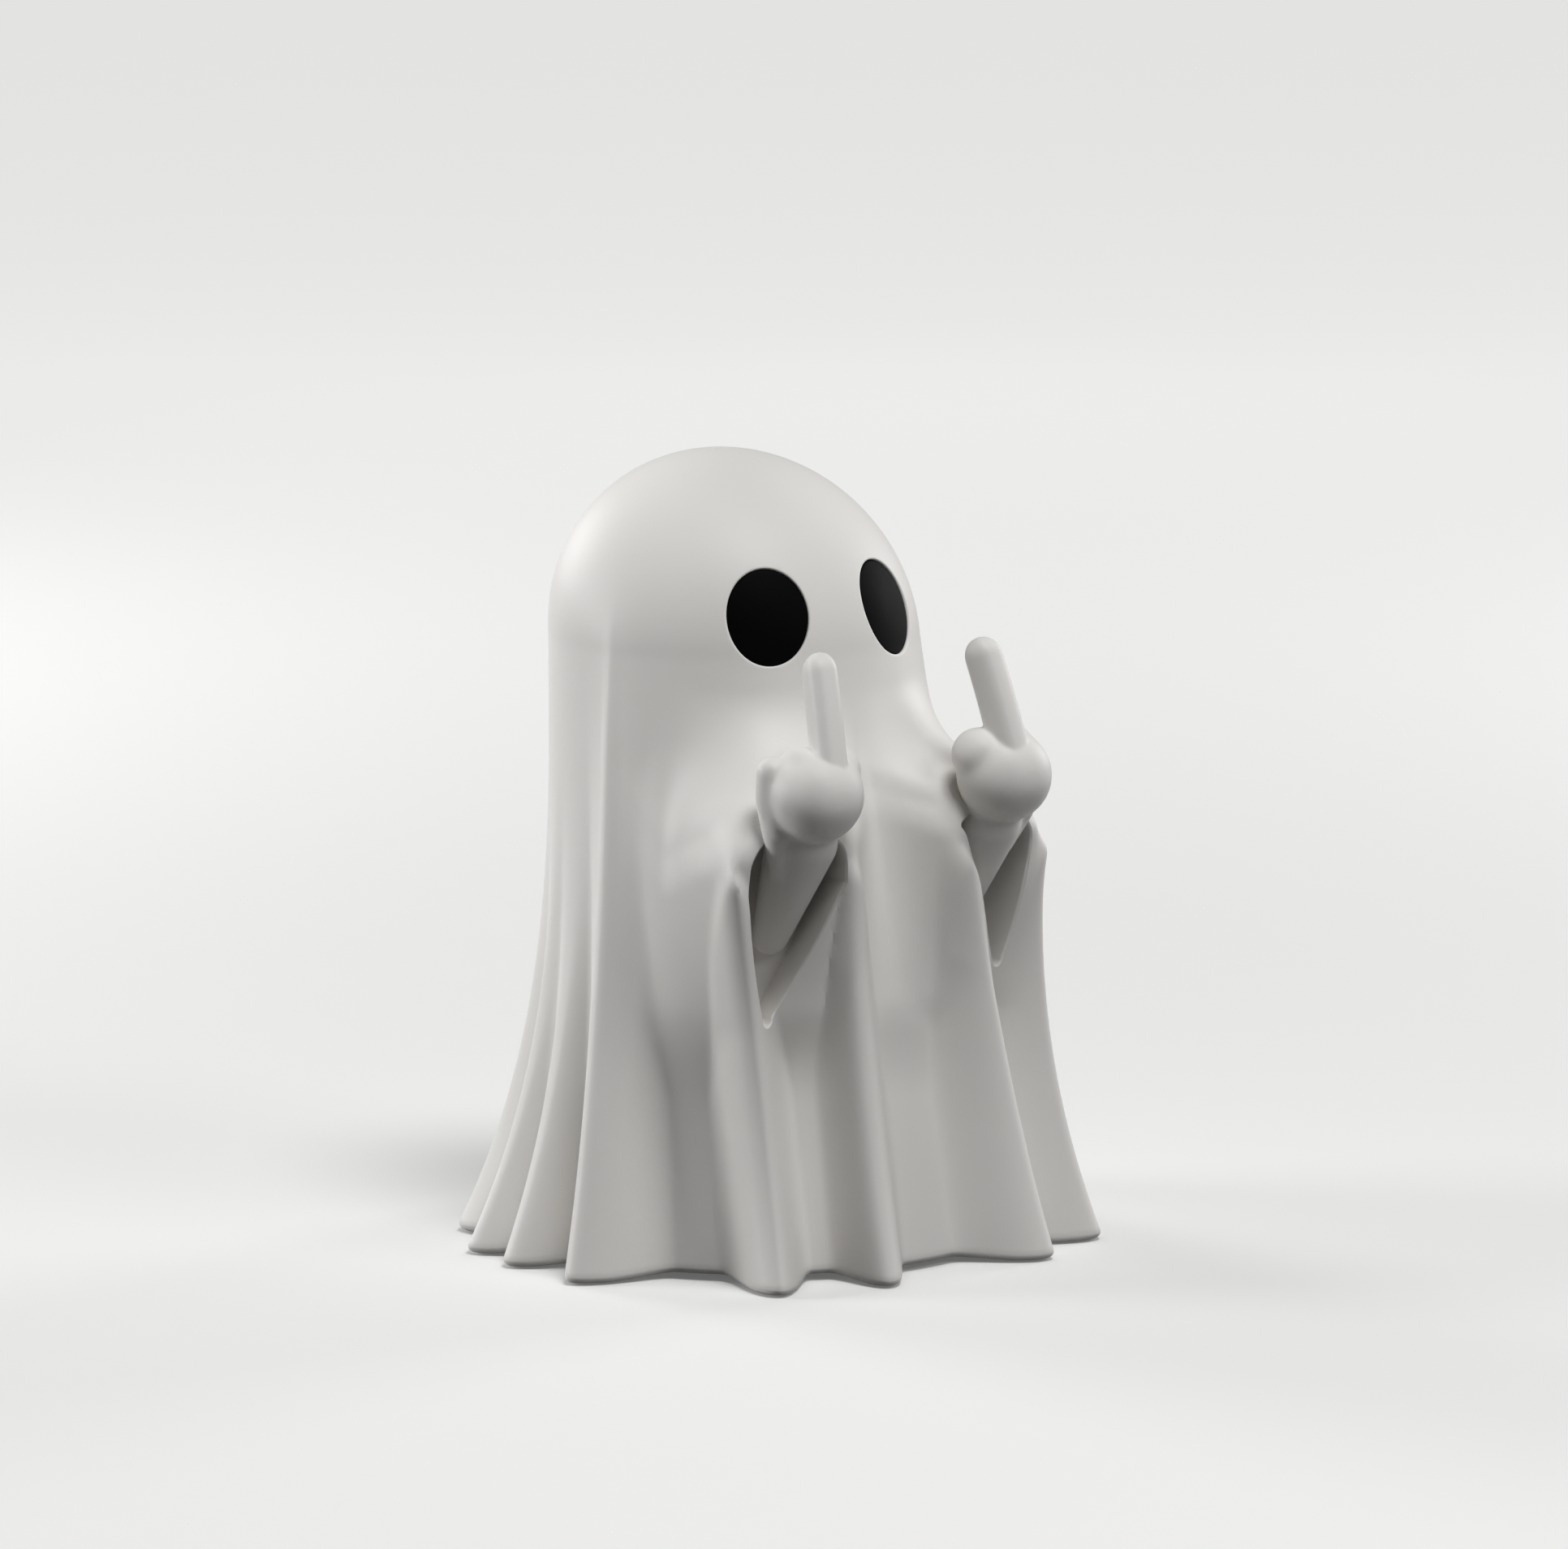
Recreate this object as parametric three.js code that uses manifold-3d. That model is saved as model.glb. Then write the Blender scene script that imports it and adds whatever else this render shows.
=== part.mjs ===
// A white draped-sheet ghost figurine that raises both fists with the middle fingers up.
// A hollow-cast sheet, two eye inlays let into its face, two hand castings pinned into the
// sleeves, a base plate let into the hem and a felt pad under the plate.
// Millimetres. +Z is up, the face looks along -Y and the ghost's own left is +X.
// The origin is on the table, where the axis of the body meets it.

import * as THREE from "three";
import { mergeVertices } from "three/addons/utils/BufferGeometryUtils.js";
import Module from "manifold-3d";

const wasm = await Module();
wasm.setup();

const { clamp, degToRad, lerp, radToDeg, smoothstep } = THREE.MathUtils;

// Gap between pieces that are seated in each other, and how far a cutter runs past its work.
const GLUE_GAP = 0.3;
const CUT_PAST = 2;

// Felt pad and base plate, which follow the inside of the hem.
const FELT_THICKNESS = 1.2;
const FELT_MARGIN = 3;
const PLATE_THICKNESS = 3;
const LEDGE_WIDTH = 2.5;

// Body of the sheet: a dome over sides that lean back and spread to the hem.
const BROW_Z = 116;
const DOME_HEIGHT = 36;
const HEAD_RADIUS = 36;
const LEAN = 0.128;
const TAPER = 8;
const FRONT_FLARE = -1.3;
const BACK_FLARE = 11;
const FLARE_POWER = 3.6;
const WALL = 4.5;
const HEM_WALL = 6;
const HEM_WALL_HEIGHT = 14;
const HEM_CLEARANCE = 0.3;
const HEM_LIFT = 0.8;
const HEM_ROUND = 1.2;
const FULL_CREST = 10;

// Folds of the body. at is the angle of the crest at the hem, in degrees from straight ahead,
// positive to the ghost's left. rise is how far the crest stands out at the hem, front and
// back are its widths in degrees towards the face and away from it, top is the height where
// it begins, and late is the power by which it swells on its way down.
const FOLDS = [
  { at: -76, rise: 13.5, front: 15, back: 13, top: 127, late: 1.5 },
  { at: -95, rise: 12, front: 10, back: 12, top: 104, late: 2.4 },
  { at: -109, rise: 12.3, front: 9, back: 12, top: 104, late: 2.6 },
  { at: -130, rise: 10.5, front: 13, back: 12, top: 108, late: 2.4 },
  { at: -151, rise: 9, front: 11, back: 12, top: 100, late: 2.4 },
  { at: -172, rise: 10, front: 12, back: 12, top: 108, late: 2.2 },
  { at: 167, rise: 9.5, front: 11, back: 12, top: 100, late: 2.4 },
  { at: 147, rise: 9, front: 11, back: 11, top: 104, late: 2.6 },
  { at: 128, rise: 10, front: 11, back: 11, top: 106, late: 2.4 },
  { at: 109, rise: 10.5, front: 10, back: 11, top: 100, late: 2.4 },
  { at: 91, rise: 11, front: 11, back: 11, top: 104, late: 2.4 },
  { at: 72, rise: 12, front: 13, back: 12, top: 122, late: 1.9 },
];
const FOLD_BLEND = 2;

// Sleeves: the cloth stands out over each forearm to a mouth plane that leans with the body.
// From the lips of the mouth it is drawn straight back to the chest on the inner side and to
// the ribs on the outer one. Its roof swells from the breast down to the arm. The arms point a
// little apart.
const YAW = degToRad(11.5);
const MOUTH_X = 23.4;
const MOUTH_Z = 82.5;
const MOUTH_REACH = 53.4;
const MOUTH_SLOPE = 0.3;
const SLEEVE_FADE_TOP_Z = 52;
const SLEEVE_FADE_END_Z = 32;
const INNER_LIP_ANGLE = 13.4;
const OUTER_LIP_ANGLE = 38.5;
const CHEST_ANGLE = -2;
const CHEST_EASE = 4;
const CHEST_END_ANGLE = -24;
const FLANK_ANGLE = 68;
const FLANK_EASE = 6;
const FLANK_END_ANGLE = 88;
const FLANK_SOFTNESS = 7;
const LIP_SOFTNESS = 5;
const ROOF_TOP_Z = 114;
const ROOF_SWELL = 0.031;
const ROOF_ANGLE = 25;
const ROOF_SPREAD = 36;
const ROOF_LIFT_Z = 104;
const ROOF_LIFT = 0.008;
const ROOF_SOFTNESS = 6;
const RIDGE_SOFTNESS = 2;
const SIDEWAYS = 75;
const NO_WAY = 1e-6;

const RIGHT = -1;
const LEFT = 1;
const SIDES = [RIGHT, LEFT];
const SIDE_NAME = { [RIGHT]: "right", [LEFT]: "left" };

// Curtains: the cloth hangs in a fold from each lip of the mouth to the hem. at and hem are a
// fold's angle and radius at the hem, mid its radius at the middle height, turn the power by
// which it swings from under its lip, and front and back its widths.
const CURTAIN_TOP_Z = 90;
const CURTAIN_SHOULDER = 14;
const CURTAIN_DROP = 24;
const CURTAIN_SLACK = 12;
const CURTAIN_MID_Z = 45;
const CURTAINS = [
  { side: RIGHT, lip: INNER_LIP_ANGLE, at: 13, mid: 49.5, hem: 54.4, front: 12, back: 10, turn: 1 },
  { side: RIGHT, lip: OUTER_LIP_ANGLE, at: 35.5, mid: 52.5, hem: 58.8, front: 8, back: 15, turn: 1 },
  { side: LEFT, lip: INNER_LIP_ANGLE, at: 29.4, mid: 51.5, hem: 58, front: 15, back: 14, turn: 2.4 },
  { side: LEFT, lip: OUTER_LIP_ANGLE, at: 49.7, mid: 55.8, hem: 63, front: 13, back: 20, turn: 1.4 },
];

// The slot of each sleeve, across the arm (positive away from the chest) and in height.
const SLOT_HALF_WIDTH = 9.8;
const SLOT_TOP_Z = 87;
const SLOT_SHOULDER_Z = 79;
const SLOT_SIDE_Z = 76;
const SLOT_TIP_SHIFT = 4;
const SLOT_TIP_RADIUS = 1.3;
const SLOT_TIP_Z = { [RIGHT]: 47.5, [LEFT]: 52 };
const SLOT_BELLY = 2.2;
const SLOT_LIP = 0.8;
const SLOT_LIP_DEPTH = 2;
const SLOT_CLEARANCE = 12;

// Forearm and fist, across the arm and ahead of the mouth plane.
const ELBOW_Z = 71;
const ELBOW_RADIUS = 5;
const ELBOW_AHEAD = 3.5;
const WRIST_Z = 83.8;
const WRIST_ACROSS = -0.8;
const WRIST_AHEAD = -2;
const WRIST_RADIUS = 7.2;
const FIST_ACROSS = -1;
const FIST_AHEAD = -1.6;
const FIST_Z = 94.6;
const FIST_RADII = [9, 9, 8.9];
const PALM = [-0.3, 1.9, -1.1];

// Raised finger, from the middle of the fist. It leans back to the body and tilts towards the
// other hand.
const FINGER_ACROSS = -1.5;
const FINGER_AHEAD = 5.3;
const FINGER_FOOT_Z = 95;
const FINGER_TIP_Z = 119.8;
const FINGER_LEAN = 17;
const FINGER_TILT = 2.5;
const FINGER_FOOT_WIDTH = 6.4;
const FINGER_TIP_WIDTH = 6;
const FINGER_FLATNESS = 1.16;
const FINGER_SQUARENESS = 2.8;
const FINGER_DOME = 0.5;

// Swellings of the fist: the index knuckle, the curled fingers, the thumb's knuckle and the
// fold of the palm. Each has its direction across, ahead and up, its height and its width in
// degrees.
const SWELLINGS = [
  { toward: [0.45, 0, 0.75], rise: 1.3, width: 24 },
  { toward: [-0.75, -0.25, 0.6], rise: 1.6, width: 28 },
  { toward: [0.9, -0.25, 0.3], rise: 1.6, width: 26 },
  { toward: [0.1, -0.8, 0.5], rise: 0.8, width: 30 },
];
// The thumb lies along the outer side of the fist and runs into the wrist.
const THUMB_TIP = [8.2, -0.6, 3.4];
const THUMB_ROOT = [5.4, -1.4, -9];
const THUMB_RADIUS = 3.3;

// Dowels that hold the hand castings in the sleeves.
const DOWEL_RADIUS = 1.5;
const DOWEL_GRIP = 6;
const DOWEL_TAIL = 1;

// Eyes: oval inlays let into the dome, a little below its skin.
const EYE_ANGLE = 24;
const EYE_Z = BROW_Z + DOME_HEIGHT * 0.22;
const EYE_WIDTH = 15.7;
const EYE_HEIGHT = 18.8;
const EYE_DEPTH = 2.8;
const EYE_RECESS = 0.4;

// Finishes: the cast white, the inlays' black, the dowels' wood and the felt.
const SHEET_WHITE = 0xe9e8e4;
const SATIN = 0.48;
const EYE_BLACK = 0x050505;
const GLOSS = 0.25;
const BEECH = 0xc9a878;
const DRY_WOOD = 0.8;
const FELT_BLACK = 0x1c1c1e;
const FUZZY = 0.95;

// Facets.
const ROUND = 360;
const COLUMNS = 96;
const FRONT_CROWDING = 0.3;
const SIDE_ROWS = 23;
const DOME_ROWS = 8;
const INNER_COLUMNS = 40;
const INNER_ROWS = 6;
const INNER_DOME_ROWS = 6;
const SLOT_POINTS = 30;
const LIMB_SIDES = 18;
const LIMB_ARC = 4;
const FIST_DETAIL = 6;
const FINGER_SIDES = 20;
const FINGER_DOME_RINGS = 4;
const DOWEL_SIDES = 16;
const EYE_SIDES = 24;
const WELD = 1e-5;
const HAIR = 0.005;

const UP = new THREE.Vector3(0, 1, 0);

// Turns a shape that was drawn along Y to lie along another direction, and moves it to a place.
function laidAlong(shape, direction, place) {
  shape.applyQuaternion(new THREE.Quaternion().setFromUnitVectors(UP, direction));
  shape.translate(...place);
  return shape;
}

// Solids.

function bare(geometry) {
  geometry.deleteAttribute("normal");
  geometry.deleteAttribute("uv");
  return geometry;
}

function solid(geometry) {
  const merged = mergeVertices(bare(geometry), WELD);
  return new wasm.Manifold(new wasm.Mesh({
    numProp: 3,
    vertProperties: new Float32Array(merged.attributes.position.array),
    triVerts: new Uint32Array(merged.index.array),
  }));
}

// Vertices that a cut has left within a hair of each other become one, and the facets between
// them go.
function withoutSlivers(body) {
  const { vertProperties, triVerts, numProp } = body.getMesh();
  const cut = new THREE.BufferGeometry();
  cut.setAttribute("position", new THREE.BufferAttribute(vertProperties, numProp));
  cut.setIndex(new THREE.BufferAttribute(triVerts, 1));
  const geometry = mergeVertices(cut, HAIR);
  const corners = geometry.index.array;
  const kept = [];
  for (let i = 0; i < corners.length; i += 3) {
    const facet = corners.slice(i, i + 3);
    if (new Set(facet).size === 3) kept.push(...facet);
  }
  geometry.setIndex(kept);
  return geometry;
}

function meshOf(name, body, color, roughness) {
  const geometry = withoutSlivers(body);
  const finish = new THREE.MeshStandardMaterial({ color, roughness, metalness: 0 });
  const piece = new THREE.Mesh(geometry, finish);
  piece.name = name;
  return piece;
}

// Cosine of the fold between two facets.
function flatness(points, pair) {
  const [n, m] = pair.map((facet) => new THREE.Triangle(...facet.map((i) => points[i]))
    .getNormal(new THREE.Vector3()));
  return n.dot(m);
}

// A closed skin over rings of points, which run anticlockwise seen from the end point, with a
// fan from a point at each end. Each cell is split along the diagonal that folds it less.
function loft(rings, start, end) {
  const count = rings[0].length;
  const points = [start, ...rings.flat(), end];
  const last = points.length - 1;
  const at = (ring, i) => 1 + ring * count + (i % count);
  const faces = [];
  for (let i = 0; i < count; i++) {
    faces.push(0, at(0, i + 1), at(0, i));
    faces.push(last, at(rings.length - 1, i), at(rings.length - 1, i + 1));
  }
  for (let ring = 0; ring + 1 < rings.length; ring++) {
    for (let i = 0; i < count; i++) {
      const [a, b] = [at(ring, i), at(ring, i + 1)];
      const [c, d] = [at(ring + 1, i), at(ring + 1, i + 1)];
      const one = [[a, b, d], [a, d, c]];
      const other = [[a, b, c], [b, d, c]];
      faces.push(...(flatness(points, one) >= flatness(points, other) ? one : other).flat());
    }
  }
  const geometry = new THREE.BufferGeometry().setFromPoints(points);
  geometry.setIndex(faces);
  return geometry;
}

function unite(solids) {
  return solids.reduce((whole, piece) => whole.add(piece));
}

// Turns a shape's facets about, which a mirrored shape needs.
function flipped(shape) {
  const index = shape.index.array;
  for (let i = 0; i < index.length; i += 3) {
    [index[i + 1], index[i + 2]] = [index[i + 2], index[i + 1]];
  }
  return shape;
}

// The ghost's right side is the mirror image of its left, so every paired shape is drawn on
// the left and passes through here.
function onSide(side, geometry) {
  const shape = mergeVertices(bare(geometry), WELD);
  if (side === LEFT) return shape;
  shape.scale(-1, 1, 1);
  return flipped(shape);
}

// Shape of the sheet.

const centreY = (z) => LEAN * z;

// Radius of the body without folds. angle is in degrees from straight ahead. An inset moves
// the whole skin inwards.
function bodyRadius(angle, z, inset = 0) {
  if (z > BROW_Z) {
    const share = Math.min((z - BROW_Z) / (DOME_HEIGHT - inset), 1);
    return (HEAD_RADIUS - inset) * Math.sqrt(1 - share * share);
  }
  const down = 1 - z / BROW_Z;
  const flare = lerp(FRONT_FLARE, BACK_FLARE, (1 - Math.cos(degToRad(angle))) / 2);
  return HEAD_RADIUS + TAPER * down + flare * down ** FLARE_POWER - inset;
}

const turnBetween = (from, to) => ((to - from + ROUND * 1.5) % ROUND) - ROUND / 2;

// 1 on a crest and 0 from its width on. The front width lies towards the face.
function crest(angle, at, front, back) {
  const away = turnBetween(at, angle) * Math.sign(at);
  const share = Math.min(Math.abs(away) / (away > 0 ? back : front), 1);
  return 0.5 + 0.5 * Math.cos(Math.PI * share);
}

function foldRise(fold, angle, z) {
  if (z >= fold.top) return 0;
  const swell = (1 - Math.max(z, 0) / fold.top) ** fold.late;
  return fold.rise * swell * crest(angle, fold.at, fold.front, fold.back);
}

// How far a curtain has come out, by height. It starts lower and comes out more slowly where
// the cloth has fallen away from its crest, which share says.
function shoulder(z, share) {
  const top = CURTAIN_TOP_Z - CURTAIN_DROP * (1 - share);
  const low = top - CURTAIN_SHOULDER - CURTAIN_SLACK * (1 - share);
  return 1 - smoothstep(z, low, top);
}

// Distance of the mouth plane from the body's centre along the arm, and of the arm's centre
// line across it.
const planeReach = (z) => MOUTH_REACH - MOUTH_SLOPE * (MOUTH_Z - z);
const armOffset = (z) => (MOUTH_X - Math.sin(YAW) * planeReach(z)) / Math.cos(YAW);

// Radius at which a ray from the body's centre meets the mouth plane.
const planeRadius = (away, z) => planeReach(z) / Math.cos(degToRad(away) - YAW);

// Where a ray from the axis meets the straight line through two places round the axis.
function lineRadius(angle, from, fromRadius, to, toRadius) {
  const start = fromRadius * Math.sin(degToRad(angle - from));
  const end = toRadius * Math.sin(degToRad(to - angle));
  return (fromRadius * toRadius * Math.sin(degToRad(to - from))) / Math.max(start + end, NO_WAY);
}

// How far the edge between two rises is eased.
function soft(a, b, softness) {
  const reach = Math.min(softness, Math.max(a, NO_WAY), Math.max(b, NO_WAY));
  const near = Math.max(reach - Math.abs(a - b), 0) / reach;
  return (near * near * reach) / 4;
}

const softLeast = (a, b, softness) => Math.min(a, b) - soft(a, b, softness);
const softMost = (a, b, softness) => Math.max(a, b) + soft(a, b, softness);

// A rise that starts from nothing along a curve.
function eased(rise, softness) {
  return rise > softness ? rise : Math.max(rise + softness, 0) ** 2 / (4 * softness);
}

// The cloth drawn taut over one arm, by the angle away from the face to the arm's side.
function tautRise(away, z) {
  const mouth = planeRadius(clamp(away, -SIDEWAYS, SIDEWAYS), z);
  const innerLip = planeRadius(INNER_LIP_ANGLE, z);
  const outerLip = planeRadius(OUTER_LIP_ANGLE, z);
  const chest = bodyRadius(CHEST_ANGLE, z);
  const ribs = bodyRadius(FLANK_ANGLE, z);
  const inner = lineRadius(away, CHEST_ANGLE, chest, INNER_LIP_ANGLE, innerLip);
  const outer = lineRadius(away, OUTER_LIP_ANGLE, outerLip, FLANK_ANGLE, ribs);
  const taut = softLeast(softLeast(mouth, outer, LIP_SOFTNESS), inner, LIP_SOFTNESS);
  const chestEnd = smoothstep(away, CHEST_END_ANGLE, CHEST_ANGLE - CHEST_EASE);
  const flankEnd = 1 - smoothstep(away, FLANK_ANGLE - FLANK_EASE, FLANK_END_ANGLE);
  return eased(taut - bodyRadius(away, z), FLANK_SOFTNESS) * chestEnd * flankEnd;
}

function roofRise(away, z) {
  const beside = clamp((away - ROOF_ANGLE) / ROOF_SPREAD, -1, 1);
  const swell = ROOF_SWELL * Math.max(ROOF_TOP_Z - z, 0) ** 2;
  const lift = ROOF_LIFT * Math.max(ROOF_LIFT_Z - z, 0) ** 2;
  return swell * (0.5 + 0.5 * Math.cos(Math.PI * beside)) + lift;
}

function sleeveRise(side, angle, z) {
  const away = turnBetween(0, angle) * side;
  const fade = smoothstep(z, SLEEVE_FADE_END_Z, SLEEVE_FADE_TOP_Z);
  return softLeast(tautRise(away, z), roofRise(away, z), ROOF_SOFTNESS) * fade;
}

// A curtain hangs from a lip of the mouth. Its radius runs from the hem's value through the
// middle's to the lip's on a parabola.
function curtainRise(curtain, side, angle, z) {
  const height = clamp(z / MOUTH_Z, 0, 1);
  const at = lerp(curtain.at, curtain.lip, height ** curtain.turn) * side;
  const top = planeRadius(curtain.lip, MOUTH_Z);
  const middle = CURTAIN_MID_Z / MOUTH_Z;
  const bow = (curtain.mid - lerp(curtain.hem, top, middle)) / (middle * (1 - middle));
  const radius = lerp(curtain.hem, top, height) + bow * height * (1 - height);
  const rise = Math.max(radius - bodyRadius(at, z), 0);
  const share = crest(angle, at, curtain.front, curtain.back);
  return rise * share * shoulder(z, share);
}

// Rises that overlap are blended, so that no crease is left where one runs into another.
const blend = (values, power) => values.reduce((sum, v) => sum + v ** power, 0) ** (1 / power);

function sheetRise(angle, z) {
  const folds = FOLDS.map((fold) => foldRise(fold, angle, z));
  const hanging = CURTAINS.map((curtain) => curtainRise(curtain, curtain.side, angle, z));
  const sleeves = SIDES.map((side) => sleeveRise(side, angle, z));
  const front = hanging.reduce(
    (rise, curtain) => softMost(rise, curtain, RIDGE_SOFTNESS),
    softMost(...sleeves, FLANK_SOFTNESS),
  );
  return blend([front, ...folds], FOLD_BLEND);
}

const sheetRadius = (angle, z) => bodyRadius(angle, z) + sheetRise(angle, z);

// Skins in rings about the leaning axis.

function polar(angle, radius, z) {
  const a = degToRad(angle);
  return new THREE.Vector3(Math.sin(a) * radius, centreY(z) - Math.cos(a) * radius, z);
}

const ring = (count, place) => Array.from({ length: count }, (_, i) => place((ROUND * i) / count));

const innerRing = (place) => ring(INNER_COLUMNS, place);

// The sheet's columns stand closer together in front, where the sleeves are.
const sheetRing = (place) => ring(COLUMNS, (turn) => place(
  turn - radToDeg(FRONT_CROWDING * Math.sin(degToRad(turn))),
));

const domeTop = (inset) => polar(0, 0, BROW_Z + DOME_HEIGHT - inset);

function domeRings(inset, rows, ringOf) {
  const rings = [];
  for (let i = 1; i < rows; i++) {
    const z = BROW_Z + (DOME_HEIGHT - inset) * Math.sin((Math.PI / 2) * (i / rows));
    rings.push(ringOf((angle) => polar(angle, bodyRadius(angle, z, inset), z)));
  }
  return rings;
}

// The hem touches down under the crests and lifts a little between them.
function hemZ(angle) {
  const crestShare = Math.min(sheetRise(angle, 0) / FULL_CREST, 1);
  return HEM_CLEARANCE + HEM_LIFT * (1 - crestShare);
}

function sheetSkin() {
  const rings = [
    sheetRing((angle) => polar(angle, sheetRadius(angle, 0) - HEM_ROUND, hemZ(angle))),
    sheetRing((angle) => polar(angle, sheetRadius(angle, 0), hemZ(angle) + HEM_ROUND)),
  ];
  for (let i = 1; i <= SIDE_ROWS; i++) {
    const z = BROW_Z * (i / SIDE_ROWS);
    rings.push(sheetRing((angle) => polar(angle, sheetRadius(angle, z), z)));
  }
  rings.push(...domeRings(0, DOME_ROWS, sheetRing));
  return solid(loft(rings, new THREE.Vector3(0, 0, HEM_CLEARANCE + HEM_LIFT), domeTop(0)));
}

// The body without folds or sleeves, moved inwards by an inset and, by thicker, once more near
// the hem.
function plainSkin(inset, lowZ, thicker = () => 0) {
  const rings = [];
  for (let i = 0; i <= INNER_ROWS; i++) {
    const z = lerp(lowZ, BROW_Z, i / INNER_ROWS);
    rings.push(innerRing((angle) => polar(angle, bodyRadius(angle, z, inset) - thicker(z), z)));
  }
  rings.push(...domeRings(inset, INNER_DOME_ROWS, innerRing));
  return solid(loft(rings, polar(0, 0, lowZ), domeTop(inset)));
}

// Base plate, felt pad and the step in the hem that takes them.

const plateRadius = (angle) => bodyRadius(angle, 0) - HEM_WALL;
const PLATE_LOW_Z = FELT_THICKNESS + GLUE_GAP;
const PLATE_TOP_Z = PLATE_LOW_Z + PLATE_THICKNESS;
const LEDGE_Z = PLATE_TOP_Z + GLUE_GAP;

function disc(grow, low, high) {
  const level = (z) => innerRing((angle) => polar(angle, plateRadius(angle) + grow, 0).setZ(z));
  return solid(loft(
    [level(low), level(high)],
    new THREE.Vector3(0, 0, low),
    new THREE.Vector3(0, 0, high),
  ));
}

function cavity() {
  const extra = HEM_WALL + LEDGE_WIDTH - WALL;
  return plainSkin(
    WALL,
    LEDGE_Z - CUT_PAST,
    (z) => extra * (1 - smoothstep(z, LEDGE_Z, LEDGE_Z + HEM_WALL_HEIGHT)),
  );
}

// Sleeve slots. A place on an arm is given across it, away from the chest, ahead of the mouth
// plane, and in height.

const ARM = new THREE.Vector3(Math.sin(YAW), -Math.cos(YAW), 0);
const ACROSS = new THREE.Vector3(Math.cos(YAW), Math.sin(YAW), 0);

function armPoint(across, ahead, z) {
  return polar(0, 0, z)
    .addScaledVector(ARM, planeReach(z) + ahead)
    .addScaledVector(ACROSS, armOffset(z) + across);
}

// Where the arm's centre line meets the plain body, or a skin inside it, ahead of the plane.
function bodyAhead(z, inset) {
  const radius = bodyRadius((INNER_LIP_ANGLE + OUTER_LIP_ANGLE) / 2, z, inset);
  return Math.sqrt(radius ** 2 - armOffset(z) ** 2) - planeReach(z);
}

// Teardrop outline of a slot: a half round at the wrist, then sides that close on the tip. The
// inner side is the one that swings.
function slotOutline(tipZ) {
  const tip = new THREE.Vector2(SLOT_TIP_SHIFT, tipZ + SLOT_TIP_RADIUS);
  const outline = new THREE.Path();
  outline.moveTo(SLOT_HALF_WIDTH, SLOT_SIDE_Z);
  outline.lineTo(SLOT_HALF_WIDTH, SLOT_SHOULDER_Z);
  outline.absellipse(0, SLOT_SHOULDER_Z, SLOT_HALF_WIDTH, SLOT_TOP_Z - SLOT_SHOULDER_Z, 0, Math.PI);
  outline.lineTo(-SLOT_HALF_WIDTH, SLOT_SIDE_Z);
  outline.quadraticCurveTo(
    (tip.x - SLOT_HALF_WIDTH) / 2 - SLOT_BELLY,
    (tip.y + SLOT_SIDE_Z) / 2,
    tip.x - SLOT_TIP_RADIUS,
    tip.y,
  );
  outline.absarc(tip.x, tip.y, SLOT_TIP_RADIUS, Math.PI, Math.PI * 2);
  outline.quadraticCurveTo(
    SLOT_HALF_WIDTH - SLOT_BELLY / 2,
    (tip.y + SLOT_SIDE_Z) / 2,
    SLOT_HALF_WIDTH,
    SLOT_SIDE_Z,
  );
  return outline.getSpacedPoints(SLOT_POINTS).slice(0, -1);
}

// The slot's cutter runs from in front of the sleeve to behind the body's skin. It opens out
// at the lips.
function slotCutter(side) {
  const outline = slotOutline(SLOT_TIP_Z[side]);
  const middle = new THREE.Vector2(0, SLOT_SIDE_Z);
  const swollen = (point, grow) => {
    const away = point.clone().sub(middle);
    return point.clone().addScaledVector(away.normalize(), grow);
  };
  const section = (ahead, grow) => outline
    .map((point) => swollen(point, grow))
    .map((point) => armPoint(point.x, ahead, point.y));
  const deep = bodyAhead(SLOT_TOP_Z, WALL);
  const rings = [
    section(deep, 0),
    section(-SLOT_LIP_DEPTH, 0),
    section(0, SLOT_LIP),
    section(SLOT_LIP_DEPTH, SLOT_LIP * 2),
    section(SLOT_CLEARANCE, SLOT_LIP * 2),
  ];
  const back = armPoint(0, deep, SLOT_SIDE_Z);
  const front = armPoint(0, SLOT_CLEARANCE, SLOT_SIDE_Z);
  return solid(onSide(side, loft(rings, back, front)));
}

// Hands. Every radius takes a growth, so that the same shape also cuts its own clearance.

const FIST = armPoint(FIST_ACROSS, FIST_AHEAD, FIST_Z);
const ELBOW = armPoint(0, bodyAhead(ELBOW_Z, 0) + ELBOW_AHEAD, ELBOW_Z);
const WRIST = armPoint(WRIST_ACROSS, WRIST_AHEAD, WRIST_Z);

function fromFist(across, ahead, up) {
  return FIST.clone()
    .addScaledVector(ACROSS, across)
    .addScaledVector(ARM, ahead)
    .add(new THREE.Vector3(0, 0, up));
}

// The fist is an ellipsoid that swells along each of its listed directions.
function fist(grow) {
  const ball = mergeVertices(bare(new THREE.IcosahedronGeometry(1, FIST_DETAIL)), WELD);
  const place = ball.attributes.position;
  const axes = SWELLINGS.map((swelling) => new THREE.Vector3(...swelling.toward).normalize());
  for (let i = 0; i < place.count; i++) {
    const out = new THREE.Vector3().fromBufferAttribute(place, i);
    const [x, y, z] = [out.x, out.y, out.z].map((part, axis) => part / FIST_RADII[axis]);
    const swell = SWELLINGS.reduce((sum, { rise, width }, k) => {
      const turn = radToDeg(out.angleTo(axes[k])) / width;
      return sum + rise * Math.exp(-turn * turn);
    }, 0);
    const radius = 1 / Math.hypot(x, y, z) + swell + grow;
    const [across, ahead, up] = out.toArray().map((part, axis) => part * radius + PALM[axis]);
    place.setXYZ(i, ...fromFist(across, ahead, up));
  }
  return flipped(ball);
}

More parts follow.
